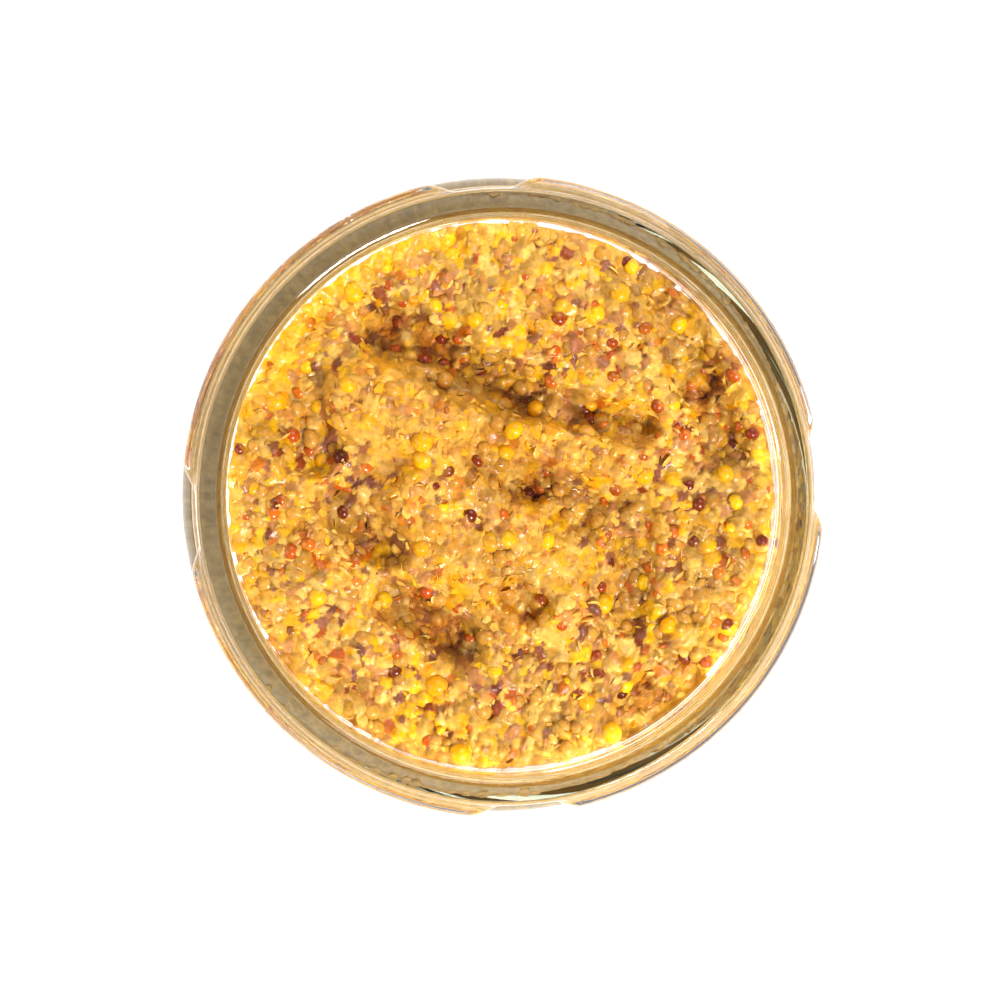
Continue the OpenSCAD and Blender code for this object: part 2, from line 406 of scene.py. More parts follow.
def spooned_normal(x, y, step=0.4):
    """Unit normals of the stirred surface, from its slopes over a small step."""
    sx = (spooned_z(x + step, y) - spooned_z(x - step, y)) / (2 * step)
    sy = (spooned_z(x, y + step) - spooned_z(x, y - step)) / (2 * step)
    n = np.stack([-sx, -sy, np.ones_like(sx)], axis=-1)
    return n / np.linalg.norm(n, axis=-1, keepdims=True)


# %% [markdown]
# ## What is in the jar
# The paste holds whole seeds, pale kernels broken into chips, thin hulls and a
# few dark brown seeds. Each kind gets a few real colours to lie between. The
# colours are written as a screen shows them and turned into light values.

# %% Colours of the grains


def light(*rgb):
    """Light values of colours written from 0 to 255."""
    c = np.array(rgb, float) / 255
    return np.where(c <= 0.04045, c / 12.92, ((c + 0.055) / 1.055) ** 2.4)


COLOURS = {
    "paste": light((206, 139, 72), (218, 146, 56), (182, 114, 62)),
    "golden": light((254, 186, 0), (250, 166, 0), (255, 200, 10)),
    "olive": light((208, 152, 52), (182, 128, 42), (222, 166, 66)),
    "cream": light((248, 193, 82), (244, 175, 48), (246, 199, 106)),
    "yellow": light((254, 184, 4), (250, 162, 0), (254, 198, 18)),
    "rust": light((206, 92, 6), (176, 62, 4), (220, 120, 14)),
    "maroon": light((130, 40, 8), (92, 26, 6), (158, 60, 10)),
    "plum": light((150, 84, 54), (174, 104, 70), (116, 60, 40)),
}


def pick_colours(kind, count, spread=0.12):
    """One colour for each of count grains: a random blend of the kind's colours, lighter or darker."""
    share = rng.dirichlet((0.8, 0.8, 0.8), count)
    return np.clip(share @ COLOURS[kind] * rng.uniform(1 - spread, 1 + spread, (count, 1)), 0, 1)


# %% Where the paste is high, deep or against the glass
WET_AND_SHADED_PLACES = np.array([
    [0.84, 0.00, 0.78, -0.46, 0.14, 1.00],
    [0.64, -0.62, 0.48, -0.76, 0.12, 1.00],
    [0.00, -0.90, 0.40, -0.86, 0.12, 0.75],
    [0.66, 0.60, 0.54, 0.74, 0.15, 0.90],
    [-0.05, 0.20, 0.00, 0.04, 0.10, 0.85],
    [-0.02, -0.20, 0.02, -0.30, 0.09, 0.55],
    [-0.88, 0.32, -0.84, -0.40, 0.09, 0.45],
])  # where the paste is painted wet brown and shaded, though it isn't deep
SMEAR_AND_LIGHT_TURN = 140.0  # direction in which the yellow smear and painted light by the glass are widest, in degrees
# Gold for the ridges; a wet brown for the furrows and wet places that is also painted shade; a bright yellow
# by the glass that is painted light coming in through the wall onto paste smeared up the glass
ZONE_TONES = light((246, 170, 48), (136, 92, 34), (250, 182, 2))


def zones(x, y):
    """Three masks from 0 to 1: on a ridge, in a furrow or wet place, where painted shade goes, and close to
    the glass, where painted light goes.
    The last is wider on two opposite sides."""
    px, py = x / MOUTH_R, y / MOUTH_R
    ridge, furrow = strokes(RIDGES, px, py), strokes(FURROWS, px, py)
    high = soft(0.25, 0.8, ridge + 0.15 * waves(x, y, 9, 21))
    deep = soft(0.25, 0.8, furrow - 0.5 * ridge + 0.1 * waves(x, y, 5, 24))
    patchy = (0.85 + 0.3 * waves(x, y, 4, 27)).clip(0, 1)
    deep = np.maximum(deep, np.minimum(1, strokes(WET_AND_SHADED_PLACES, px, py)) * patchy)
    side = np.cos(np.arctan2(py, px) - np.radians(SMEAR_AND_LIGHT_TURN)) ** 4
    out = np.hypot(px, py) + 0.02 * waves(x, y, 4, 22)
    edge = soft(0.92 - 0.08 * side, 0.985 - 0.04 * side, out)
    return high, deep, edge * (0.4 + 0.6 * side) * (1 - 0.85 * deep)


def in_its_place(x, y, colour, shares):
    """Colours pulled by three shares: to gold on the ridges, to a wet brown with painted shade in the
    furrows, and to a yellow with painted light by the glass."""
    for mask, tone, share in zip(zones(x, y), ZONE_TONES, shares):
        colour = colour + (tone - colour) * (mask * share)[:, None]
    return colour


# %% Spreading grains over the top


def spread_out(x, y, radius, limit, rounds, give):
    """Push overlapping discs apart, all pairs at once, and keep them within the limit radius."""
    for _ in range(rounds):
        dx, dy = x[:, None] - x[None, :], y[:, None] - y[None, :]
        gap = np.hypot(dx, dy) + 1e-6
        push = np.maximum((radius[:, None] + radius[None, :]) * give - gap, 0)
        np.fill_diagonal(push, 0)
        x = x + 0.4 * (push * dx / gap).sum(1)
        y = y + 0.4 * (push * dy / gap).sum(1)
        far = np.maximum(np.hypot(x, y) / (limit - radius), 1)
        x, y = x / far, y / far
    return x, y


def disc_points(count, limit, liking=(0, 0, 0)):
    """Random places over a disc. liking says how much likelier a place is in each zone, or less
    likely if negative."""
    many = 6 * count
    r, a = limit * np.sqrt(rng.uniform(0, 1, many)), rng.uniform(0, 2 * np.pi, many)
    x, y = r * np.cos(a), r * np.sin(a)
    weight = 1 + sum(like * zone for like, zone in zip(liking, zones(x, y)))
    kept = np.argsort(rng.uniform(0, 1, many) ** (1 / np.maximum(weight, 0.02)))[-count:]
    return x[kept], y[kept]


BIT_COUNT = 3600
BIT_SHARES = {
    "cream": 0.35, "yellow": 0.16, "olive": 0.14, "golden": 0.03,
    "rust": 0.04, "maroon": 0.03, "plum": 0.08, "paste": 0.17,
}
bit_kind = rng.choice(list(BIT_SHARES), BIT_COUNT, p=list(BIT_SHARES.values()))
bit_round = np.isin(bit_kind, ["olive", "golden"]) | (rng.uniform(0, 1, BIT_COUNT) < 0.12)
seed_radius = rng.uniform(0.8, 1.25, BIT_COUNT)
chip_radius = rng.gamma(9, 0.088, BIT_COUNT).clip(0.4, 1.35)
bit_radius = np.where(bit_round, seed_radius, chip_radius)
bit_x, bit_y = disc_points(BIT_COUNT, MOUTH_R)
bit_x, bit_y = spread_out(bit_x, bit_y, bit_radius, MOUTH_R + 0.3, rounds=10, give=0.55)
bit_colour = np.zeros((BIT_COUNT, 3))
for kind in np.unique(bit_kind):
    chosen = bit_kind == kind
    bit_colour[chosen] = pick_colours(kind, chosen.sum())
bit_colour = in_its_place(bit_x, bit_y, bit_colour, (0.4, 0.45, 0.7))
print("bits in the relief:", {k: int((bit_kind == k).sum()) for k in np.unique(bit_kind)})

# %% [markdown]
# ## Relief of small bits
# Thousands of separate chips would be slow to make and would look like gravel.
# Real mustard coats its smallest bits, so they are raised on the paste itself.
# A seed raises a cap, and a chip a tilted plateau with sheer sides. Where two
# overlap, the higher one wins and gives the place its colour.

# %% Raise the bits on the paste
SIDES = 6
even_angle = rng.uniform(0, 2 * np.pi, (BIT_COUNT, 1)) + np.linspace(0, 2 * np.pi, SIDES, endpoint=False)
side_angle = even_angle + rng.uniform(-0.35, 0.35, (BIT_COUNT, SIDES))
stretch = 0.4 * rng.uniform(0, 1, (BIT_COUNT, 1))
longer = 1 + stretch * np.cos(2 * (side_angle - rng.uniform(0, np.pi, (BIT_COUNT, 1))))
side_reach = bit_radius[:, None] * rng.uniform(0.6, 0.95, (BIT_COUNT, SIDES)) * longer
cap_rise = rng.uniform(0.35, 0.8, BIT_COUNT) * bit_radius
bit_rise = np.where(bit_round, cap_rise, rng.uniform(0.2, 0.95, BIT_COUNT))
bit_tilt = rng.normal(0, 0.3, (BIT_COUNT, 2)) * ~bit_round[:, None]


def bit_relief(x, y):
    """Height that the bits add, which bit is on top (-1 for none), and how deep inside it a place is.
    A cap is sqrt(r2 - d2) less its sunk part. A plateau is its height and tilt, cut off by its
    nearest side. The work goes tile by tile, with only the bits that are near."""
    height, owner, inside = np.zeros_like(x), np.full(x.shape, -1), np.zeros_like(x)
    tile = 3.0
    around = tile / 2 + 1.4
    tx, ty = np.floor(x / tile).astype(int), np.floor(y / tile).astype(int)
    for key in np.unique(tx * 1000 + ty):
        a, b = np.round(key / 1000), key - 1000 * np.round(key / 1000)
        spot = np.nonzero((tx == a) & (ty == b))[0]
        near_x = np.abs(bit_x - (a + 0.5) * tile) < around
        near_y = np.abs(bit_y - (b + 0.5) * tile) < around
        near = np.nonzero(near_x & near_y)[0]
        if not len(near):
            continue
        dx, dy = x[spot, None] - bit_x[near], y[spot, None] - bit_y[near]
        r = bit_radius[near]
        cap = np.sqrt(np.maximum(r ** 2 - dx ** 2 - dy ** 2, 0)) - r + bit_rise[near]
        along = dx[..., None] * np.cos(side_angle[near])
        across = dy[..., None] * np.sin(side_angle[near])
        side = (side_reach[near] - along - across).min(-1)
        flat = bit_rise[near] + dx * bit_tilt[near, 0] + dy * bit_tilt[near, 1]
        chip = np.minimum(flat, 2.6 * side)
        h = np.where(bit_round[near], cap, chip)
        top = h.argmax(1)
        best = h[np.arange(len(spot)), top]
        shown = best > 0
        height[spot] = np.maximum(best, 0)
        owner[spot] = np.where(shown, near[top], -1)
        inside[spot] = np.where(shown, np.clip(best / np.maximum(bit_rise[near[top]], 0.05), 0, 1), 0)
    return height, owner, inside


# %% The paste as one closed piece
GRID = 252
OVERLAP = 0.06  # the fill reaches this far into the glass, so no air shows between them
FILL_R = MOUTH_R + OVERLAP
u, v = np.meshgrid(np.linspace(-1, 1, GRID), np.linspace(-1, 1, GRID), indexing="xy")
top_x = (FILL_R * u * np.sqrt(1 - v ** 2 / 2)).ravel()
top_y = (FILL_R * v * np.sqrt(1 - u ** 2 / 2)).ravel()
bit_h, bit_owner, bit_inside = bit_relief(top_x, top_y)
rim_fade = np.clip((MOUTH_R - np.hypot(top_x, top_y)) / 1.2, 0, 1)
on_ridge, _, by_glass = zones(top_x, top_y)
bit_share = (0.25 + 0.75 * rim_fade) * (1 - 0.35 * on_ridge) * (1 - 0.4 * by_glass)
top_z = spooned_z(top_x, top_y) + bit_h * bit_share
print("top of the mustard, mm:", round(top_z.min(), 2), "to", round(top_z.max(), 2))

# %% Colour of the paste, place by place


def paste_colour(x, y):
    """Paste between the bits: tan to golden in patches, changed by the zones and their painted shade and
    light.
    """
    mottle = soft(-0.8, 0.9, waves(x, y, 6, 23))[:, None]
    dark = soft(0.2, 1.2, waves(x, y, 2.2, 25))[:, None]
    colour = COLOURS["paste"][0] * (1 - mottle) + COLOURS["paste"][1] * mottle
    colour = colour + (COLOURS["paste"][2] - colour) * dark
    return in_its_place(x, y, colour, (0.65, 0.75, 0.95))


coat = paste_colour(top_x, top_y)
owned = np.where((bit_owner >= 0)[:, None], bit_colour[bit_owner], coat)
shown = (soft(0.05, 0.4, bit_inside) * (0.35 + 0.6 * rim_fade))[:, None]
CREVICE_SHADE_TAKES = (0.34, 0.44, 0.54)  # share of each colour taken away as painted shade in the wet gaps round the bits
# Painted shade: the paste darkens into the gaps round the bits, less near the rim
crevice_shade = (soft(0.4, 0.03, bit_inside) * (0.5 + 0.5 * rim_fade))[:, None]
top_colour = (coat + (owned - coat) * shown) * (1 - crevice_shade * CREVICE_SHADE_TAKES)

# %% Sides and base of the paste
TONE_DEPTH = 6.0  # the rows lie close together down to here, where the wall's tone changes
# Paste under the shoulder, seen through the lip: PALE_LIGHT_TONE is painted light near the bore, for the
# bright band in the lip; SHOULDER_SHADE_TONE is painted shade under the thick shoulder; WALL_TONE is the
# paste lower down, painted a little darker as shade
PALE_LIGHT_TONE, SHOULDER_SHADE_TONE, WALL_TONE = light((220, 182, 116), (162, 136, 92), (198, 138, 44))
loop = np.concatenate([
    np.arange(GRID - 1), (GRID - 1) + GRID * np.arange(GRID - 1),
    GRID * GRID - 1 - np.arange(GRID - 1), GRID * (GRID - 1) - GRID * np.arange(GRID - 1),
])
loop_x, loop_y = top_x[loop] / FILL_R, top_y[loop] / FILL_R
side_outline = np.vstack([
    inner_shoulder[::-1],
    line((CAVITY_R, cavity_top), (CAVITY_R, cavity_top - TONE_DEPTH), 5)[1:],
    floor_round,
])
radial = np.gradient(side_outline, axis=0)
radial = np.stack([-radial[:, 1], radial[:, 0]], axis=-1)
side_outline = side_outline + OVERLAP * radial / np.linalg.norm(radial, axis=1, keepdims=True)
side = np.stack([
    side_outline[:, 0, None] * loop_x, side_outline[:, 0, None] * loop_y,
    np.repeat(side_outline[:, 1, None], len(loop), axis=1),
], axis=-1)
floor_r, bottom_z = side_outline[-1]
base_ring = np.array([[0.7], [0.35]]) * floor_r
base = np.stack([
    base_ring * loop_x, base_ring * loop_y, np.full((2, len(loop)), bottom_z),
], axis=-1)
lower = np.concatenate([side, base]).reshape(-1, 3)
top = np.stack([top_x, top_y, top_z], axis=-1)
points = np.vstack([top, lower, [[0, 0, bottom_z]]])
first = len(top)
rows = len(side_outline) + 2
under_loop = first + np.arange(len(loop))
skirt = np.stack([loop, under_loop, np.roll(under_loop, -1), np.roll(loop, -1)], axis=-1)
last = under_loop + (rows - 1) * len(loop)
# Painted light and shade by rows: pale near the bore, olive farther out under the shoulder, and the wall's
# tone below it
pale = soft(32.0, 31.4, side_outline[:, 0])[:, None]
in_shoulder = soft(cavity_top - 3.0, cavity_top + 0.5, side_outline[:, 1])[:, None]
row_colour = PALE_LIGHT_TONE * pale + SHOULDER_SHADE_TONE * (1 - pale)
row_colour = row_colour * in_shoulder + WALL_TONE * (1 - in_shoulder)
lower_colour = np.vstack([
    np.repeat(row_colour, len(loop), axis=0), np.tile(row_colour[-1], (2 * len(loop) + 1, 1)),
])
print("side outline:", side_outline[0].round(2), side_outline[-1].round(2))

# %% [markdown]
# ## Wet, seedy surfaces
# All the grains share two effects: a fine unevenness of skin, and a mottle of
# lighter and darker places. A node group makes both once, and each material
# places it with its own values. The gloss is a thin, smooth coat over a rougher
# base, as vinegar lies on the grains, and a little light passes under the
# surface, which keeps small grains warm and bright on their dark sides.

# %% Group for the mottled skin
def mottled_skin_group():
    """Takes a colour, and gives it back mottled, with a height for a bump."""
    group = bpy.data.node_groups.new("mottled_skin", "ShaderNodeTree")
    for name, way, kind in (
        ("Colour", "INPUT", "Color"), ("Grain Size", "INPUT", "Float"), ("Mottle", "INPUT", "Float"),
        ("Colour", "OUTPUT", "Color"), ("Height", "OUTPUT", "Float"),
    ):
        group.interface.new_socket(name, in_out=way, socket_type="NodeSocket" + kind)
    nodes, link = group.nodes, group.links.new
    source, out = nodes.new("NodeGroupInput"), nodes.new("NodeGroupOutput")
    place = nodes.new("ShaderNodeTexCoord")
    noise = nodes.new("ShaderNodeTexNoise")
    noise.inputs["Detail"].default_value = 3.0
    noise.inputs["Roughness"].default_value = 0.6
    link(place.outputs["Object"], noise.inputs["Vector"])
    link(source.outputs["Grain Size"], noise.inputs["Scale"])
    shade = nodes.new("ShaderNodeMapRange")
    shade.inputs["From Min"].default_value, shade.inputs["From Max"].default_value = 0.3, 0.7
    shade.inputs["To Max"].default_value = 1.12
    low = nodes.new("ShaderNodeMath")
    low.operation = "SUBTRACT"
    low.inputs[0].default_value = 1.08
    link(source.outputs["Mottle"], low.inputs[1])
    link(low.outputs[0], shade.inputs["To Min"])
    link(noise.outputs["Fac"], shade.inputs["Value"])
    tone = nodes.new("ShaderNodeVectorMath")
    tone.operation = "SCALE"
    link(source.outputs["Colour"], tone.inputs[0])
    link(shade.outputs["Result"], tone.inputs["Scale"])
    link(tone.outputs[0], out.inputs["Colour"])
    link(noise.outputs["Fac"], out.inputs["Height"])
    return group


mottled_skin = mottled_skin_group()


def grain_material(name, grain_size, mottle, bump, roughness, coat, under, depth):
    """A grain: its colour from the tint attribute, mottled skin, a wet coat and light under the surface."""
    material, tree, add, out = new_material(name)
    tint = add("ShaderNodeAttribute", attribute_name="tint")
    skin = add("ShaderNodeGroup", node_tree=mottled_skin)
    skin.inputs["Grain Size"].default_value = grain_size
    skin.inputs["Mottle"].default_value = mottle
    relief = add("ShaderNodeBump", Strength=bump, Distance=0.0002)
    shader = add("ShaderNodeBsdfPrincipled", Roughness=roughness, IOR=1.35, Subsurface_Weight=under,
                 Subsurface_Scale=depth, Subsurface_Radius=(1.0, 0.55, 0.18), Coat_Weight=coat,
                 Coat_Roughness=0.05, Coat_IOR=1.36)
    tree.links.new(tint.outputs["Color"], skin.inputs["Colour"])
    tree.links.new(skin.outputs["Colour"], shader.inputs["Base Color"])
    tree.links.new(skin.outputs["Height"], relief.inputs["Height"])
    tree.links.new(relief.outputs["Normal"], shader.inputs["Normal"])
    tree.links.new(shader.outputs[0], out.inputs["Surface"])
    return material


paste_look = grain_material("mustard_paste", 1100.0, 0.5, 0.7, 0.4, 0.45, 0.15, 0.0006)
seed_look = grain_material("seed_skin", 1500.0, 0.3, 0.12, 0.32, 0.35, 0.7, 0.0009)
brown_look = grain_material("brown_seed_skin", 1800.0, 0.45, 0.15, 0.22, 0.8, 0.15, 0.0005)
chip_look = grain_material("kernel_chip", 1500.0, 0.3, 0.3, 0.38, 0.4, 0.25, 0.0006)
hull_look = grain_material("hull_flake", 1500.0, 0.35, 0.2, 0.28, 0.6, 0.4, 0.0005)

# %% The paste
paste = make_piece(
    "mustard_paste_core", points,
    [
        sheet_faces(GRID, GRID, wrap=False), skirt,
        sheet_faces(rows, len(loop), start=first)[:, ::-1],
        fan_faces(len(points) - 1, last, turn=True),
    ],
    paste_look,
    tint=np.vstack([top_colour, lower_colour]),
)
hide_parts("mustard")

# %% [markdown]
# ## Grains that lie free
# The larger grains are real shapes, half sunk in the paste. A whole seed is a
# ball, a little flattened. A chip is a ball cut by several random planes, as a
# kernel breaks. A hull is a thin curved shell. One grain has a few dozen faces,
# and all grains of a kind are one mesh, made by turning and moving one block of
# points many times in a single sum.

# %% Shapes of one grain


def ball(ring_count, columns):
    """A unit ball: rings at even angles from pole to pole, closed by a point at each pole."""
    tilts = np.pi * np.arange(1, ring_count + 1) / (ring_count + 1)
    tilt, turn = np.meshgrid(tilts, 2 * np.pi * np.arange(columns) / columns, indexing="ij")
    ring = np.stack([np.sin(tilt) * np.cos(turn), np.sin(tilt) * np.sin(turn), np.cos(tilt)], axis=-1)
    points = np.vstack([ring.reshape(-1, 3), [[0, 0, 1], [0, 0, -1]]])
    n = ring_count * columns
    faces = [
        sheet_faces(ring_count, columns)[:, ::-1], fan_faces(n, np.arange(columns)),
        fan_faces(n + 1, np.arange(n - columns, n), turn=True),
    ]
    return points, faces


def broken(points, cuts, low, high):
    """Points beyond each of several random planes are pressed back onto it."""
    for _ in range(cuts):
        n = rng.normal(size=3)
        n /= np.linalg.norm(n)
        over = np.maximum(points @ n - rng.uniform(low, high), 0)
        points = points - over[:, None] * n
    return points


def lying_turns(normal, wobble):
    """Frames whose third axis is near the surface's normal, spun at random."""
    up = normal + rng.normal(0, wobble, normal.shape)
    up /= np.linalg.norm(up, axis=1, keepdims=True)
    side = rng.normal(size=normal.shape)
    side -= (side * up).sum(1, keepdims=True) * up
    side /= np.linalg.norm(side, axis=1, keepdims=True)
    return np.stack([side, np.cross(up, side), up], axis=-1)


def copies(shapes, places, turns, sizes):
    """Points and faces of many copies: each is its shape, sized along its own axes, turned and moved."""
    pick = rng.integers(0, len(shapes), len(places))
    blocks, faces, start = [], [], 0
    for k, (unit, unit_faces) in enumerate(shapes):
        mine = pick == k
        sized = unit[None] * sizes[mine][:, None, :]
        block = np.einsum("nij,nkj->nki", turns[mine], sized) + places[mine][:, None, :]
        starts = start + len(unit) * np.arange(mine.sum())
        faces += [(f[None] + starts[:, None, None]).reshape(-1, f.shape[1]) for f in unit_faces]
        blocks.append(block.reshape(-1, 3))
        start += mine.sum() * len(unit)
    order = np.concatenate([np.nonzero(pick == k)[0] for k in range(len(shapes))])
    counts = np.concatenate([np.full((pick == k).sum(), len(shapes[k][0])) for k in range(len(shapes))])
    return np.vstack(blocks), faces, np.repeat(order, counts)


def lay_on_top(x, y, radius, sink):
    """Centres on the paste: up the normal by the radius, less the part that is sunk."""
    n = spooned_normal(x, y)
    place = np.stack([x, y, spooned_z(x, y)], axis=-1) + n * (radius * (1 - 2 * sink))[:, None]
    return place, n


seed_shapes = [ball(5, 11)]
chip_shapes = []
for _ in range(16):
    unit, unit_faces = ball(4, 8)
    chip_shapes.append((broken(unit, 9, 0.25, 0.7), unit_faces))

# %% A hull and a cut seed


def hull_shape(bend, ring_count=4, columns=9):
    """A thin curved shell: a ball pressed flat, then bent down by bend times its squared radius."""
    points, faces = ball(ring_count, columns)
    points = points * (1, 1, 0.07)
    points[:, 2] -= bend * (points[:, 0] ** 2 + 0.5 * points[:, 1] ** 2)
    return points, faces


def cut_seed():
    """Half a seed: a shallow bowl below, and above it a flat cut with a raised skin and core."""
    radius = np.array([0.2, 0.45, 0.68, 0.86, 0.97, 1.0, 0.86, 0.5])
    height = np.array([0.16, 0.06, 0.04, 0.15, 0.16, 0.0, -0.4, -0.7])
    rows, columns = len(radius), 11
    turn = 2 * np.pi * np.arange(columns) / columns
    ring = np.stack([
        radius[:, None] * np.cos(turn), radius[:, None] * np.sin(turn),
        np.repeat(height[:, None], columns, axis=1),
    ], axis=-1).reshape(-1, 3)
    points = np.vstack([ring, [[0, 0, 0.17], [0, 0, -0.8]]])
    n = len(ring)
    return points, [
        sheet_faces(rows, columns)[:, ::-1], fan_faces(n, np.arange(columns)),
        fan_faces(n + 1, np.arange(n - columns, n), turn=True),
    ]


hull_shapes = [hull_shape(b) for b in (0.2, 0.35, 0.5)]
slice_shapes = [cut_seed()]

# %% Whole seeds and chips on the top


def top_grains(name, kind, count, radius, squash, sink, shapes, material, wobble=0.35, smooth=True,
               spread=0.12, liking=(0, 0, 0), tinge=(0.3, 0.5, 0.5), given=(), coated=0.7):
    """Scatter one kind of grain over the top and make it one piece. given holds places of a few
    grains, as shares of the mouth's radius. coated says how far paste colours each grain's foot."""
    x, y = disc_points(count, MOUTH_R - 0.4, liking)
    x[:len(given)], y[:len(given)] = (np.array(given).reshape(-1, 2) * MOUTH_R).T
    size = rng.uniform(*radius, len(x))
    x, y = spread_out(x, y, size, MOUTH_R - 0.15, rounds=8, give=0.8)
    place, n = lay_on_top(x, y, size * squash[2], rng.uniform(*sink, len(x)))
    turns = lying_turns(n, wobble)
    sizes = size[:, None] * np.array(squash) * rng.uniform(0.88, 1.12, (len(x), 3))
    grain_points, faces, owner = copies(shapes, place, turns, sizes)
    reach = np.hypot(grain_points[:, 0], grain_points[:, 1])
    grain_points[:, :2] *= np.minimum(1, (MOUTH_R + 0.04) / np.maximum(reach, 1e-6))[:, None]
    tint = in_its_place(x, y, pick_colours(kind, len(x), spread), tinge)[owner]
    px, py, pz = grain_points.T
    climb = 0.25 + 0.3 * waves(px, py, 1.8, 26)
    foot = (1 - soft(climb, climb + 0.5, pz - spooned_z(px, py))) * coated
    tint = tint + (paste_colour(px, py) - tint) * foot[:, None]
    piece = make_piece(name, grain_points, faces, material, smooth=smooth, tint=tint)
    return piece


YELLOW_PLACES = [(0.01, 0.16), (0.04, 0.24), (0.53, -0.32), (-0.54, 0.74), (-0.22, -0.04), (0.4, -0.88)]
BROWN_PLACES = [(-0.22, 0.58), (-0.28, 0.50), (-0.20, 0.09), (0.10, 0.0), (-0.12, -0.07), (-0.58, -0.06)]
RED_PLACES = [
    (-0.77, -0.20), (-0.70, -0.21), (-0.80, -0.28), (-0.38, -0.38), (0.57, 0.33), (0.18, 0.42), (0.8, 0.28),
]

top_grains("olive_seeds", "olive", 300, (0.9, 1.2), (1, 1, 0.85), (0.5, 0.78), seed_shapes, seed_look,
           liking=(-0.6, 2.5, -0.6), tinge=(0.3, 0.3, 0.3))
top_grains("golden_seeds", "golden", 52, (0.95, 1.3), (1, 1, 0.95), (0.4, 0.66), seed_shapes, seed_look,
           liking=(0, 0.8, -0.5), tinge=(0, 0.1, 0), given=YELLOW_PLACES, coated=0.65)
top_grains("rust_seeds", "rust", 95, (0.7, 0.98), (1, 1, 0.9), (0.4, 0.7), seed_shapes, brown_look,
           spread=0.3, liking=(-0.3, 0.8, -0.5), tinge=(0, 0.1, 0), given=RED_PLACES, coated=0.5)
top_grains("maroon_seeds", "maroon", 34, (0.72, 0.98), (1, 1, 0.9), (0.35, 0.6), seed_shapes, brown_look,
           spread=0.3, liking=(-0.7, 3, -0.6), tinge=(0, 0, 0), given=BROWN_PLACES, coated=0.4)
top_grains("cream_chips", "cream", 1500, (0.45, 1.0), (1.15, 0.8, 0.55), (0.25, 0.55), chip_shapes, chip_look,
           smooth=False, liking=(-0.2, -0.2, -0.5), coated=0.4)
top_grains("yellow_chips", "yellow", 540, (0.45, 1.0), (1.2, 0.75, 0.55), (0.25, 0.55), chip_shapes,
           chip_look, smooth=False, liking=(0.4, -0.3, 0.8), coated=0.4)
top_grains("rust_chips", "rust", 280, (0.35, 0.85), (1.2, 0.75, 0.5), (0.25, 0.55), chip_shapes, chip_look,
           smooth=False, spread=0.3, liking=(0, 0.5, -0.5), tinge=(0.1, 0.1, 0), coated=0.3)
top_grains("cut_seeds", "olive", 60, (0.8, 1.1), (1, 1, 1), (0.4, 0.6), slice_shapes, chip_look,
           wobble=0.3, liking=(0, 0.5, -0.5))
top_grains("pale_hulls", "cream", 420, (0.6, 1.2), (1, 0.75, 0.9), (0.3, 0.6), hull_shapes, hull_look,
           wobble=0.9, liking=(0, 0.3, 0))
top_grains("dark_hulls", "plum", 300, (0.45, 0.95), (1, 0.7, 0.9), (0.35, 0.65), hull_shapes, hull_look,
           wobble=0.8, spread=0.3, liking=(-0.2, 1.5, -0.4))

# %% [markdown]
# ## Grains against the glass
# Through the wall and the base one sees seeds and chips pressed flat on the
# glass. Each is a low plug: a flat face that lies on the wall, a rounded edge,
# and a point that stays in the paste. The plugs follow the outline of the
# filling by its length, so the straight wall, the round and the base are all
# covered. The shoulder above them stays smooth.

# %% Plugs on the filling's outline
wall_path = np.vstack([side_outline, [[0.02, side_outline[-1, 1]]]])
step_length = np.hypot(*np.diff(wall_path, axis=0).T)
path_length = np.concatenate([[0], np.cumsum(step_length)])
path_colour = np.vstack([row_colour, row_colour[-1:]])
first_grain = path_length[len(inner_shoulder) - 1] - 0.8  # just above the straight wall
GLASS_SIDE_SHADE = (0.80, 0.75, 0.50)  # painted shade: the mustard on the glass is made darker than its top, blue most
print("length of the filling's outline, mm:", path_length[-1].round(1))


def plug(sides, uneven):
    """A flat-faced plug of radius 1: its face, a rounded edge and a point 0.8 below.
    uneven moves the corners."""
    turn = 2 * np.pi * (np.arange(sides) + rng.uniform(-uneven, uneven, sides)) / sides
    reach = 1 - rng.uniform(0, 1.2 * uneven, sides)
    circle = np.stack([np.cos(turn), np.sin(turn)], axis=-1) * reach[:, None]
    profile = ((0.82, 0.06), (0.97, 0.02), (1.0, -0.1))
    rings = [np.hstack([circle * share, np.full((sides, 1), z)]) for share, z in profile]
    points = np.vstack([*rings, [[0, 0, 0.06], [0, 0, -0.8]]])
    faces = [sheet_faces(3, sides)[:, ::-1], fan_faces(3 * sides, np.arange(sides)),
             fan_faces(3 * sides + 1, np.arange(2 * sides, 3 * sides), turn=True)]
    return points, faces


round_plugs = [plug(10, 0.06)]
chip_plugs = [plug(6, 0.3) for _ in range(12)]


def along_path(length, columns):
    """Values of the columns at each length along the filling's outline."""
    return np.stack([np.interp(length, path_length, column) for column in columns.T], axis=-1)


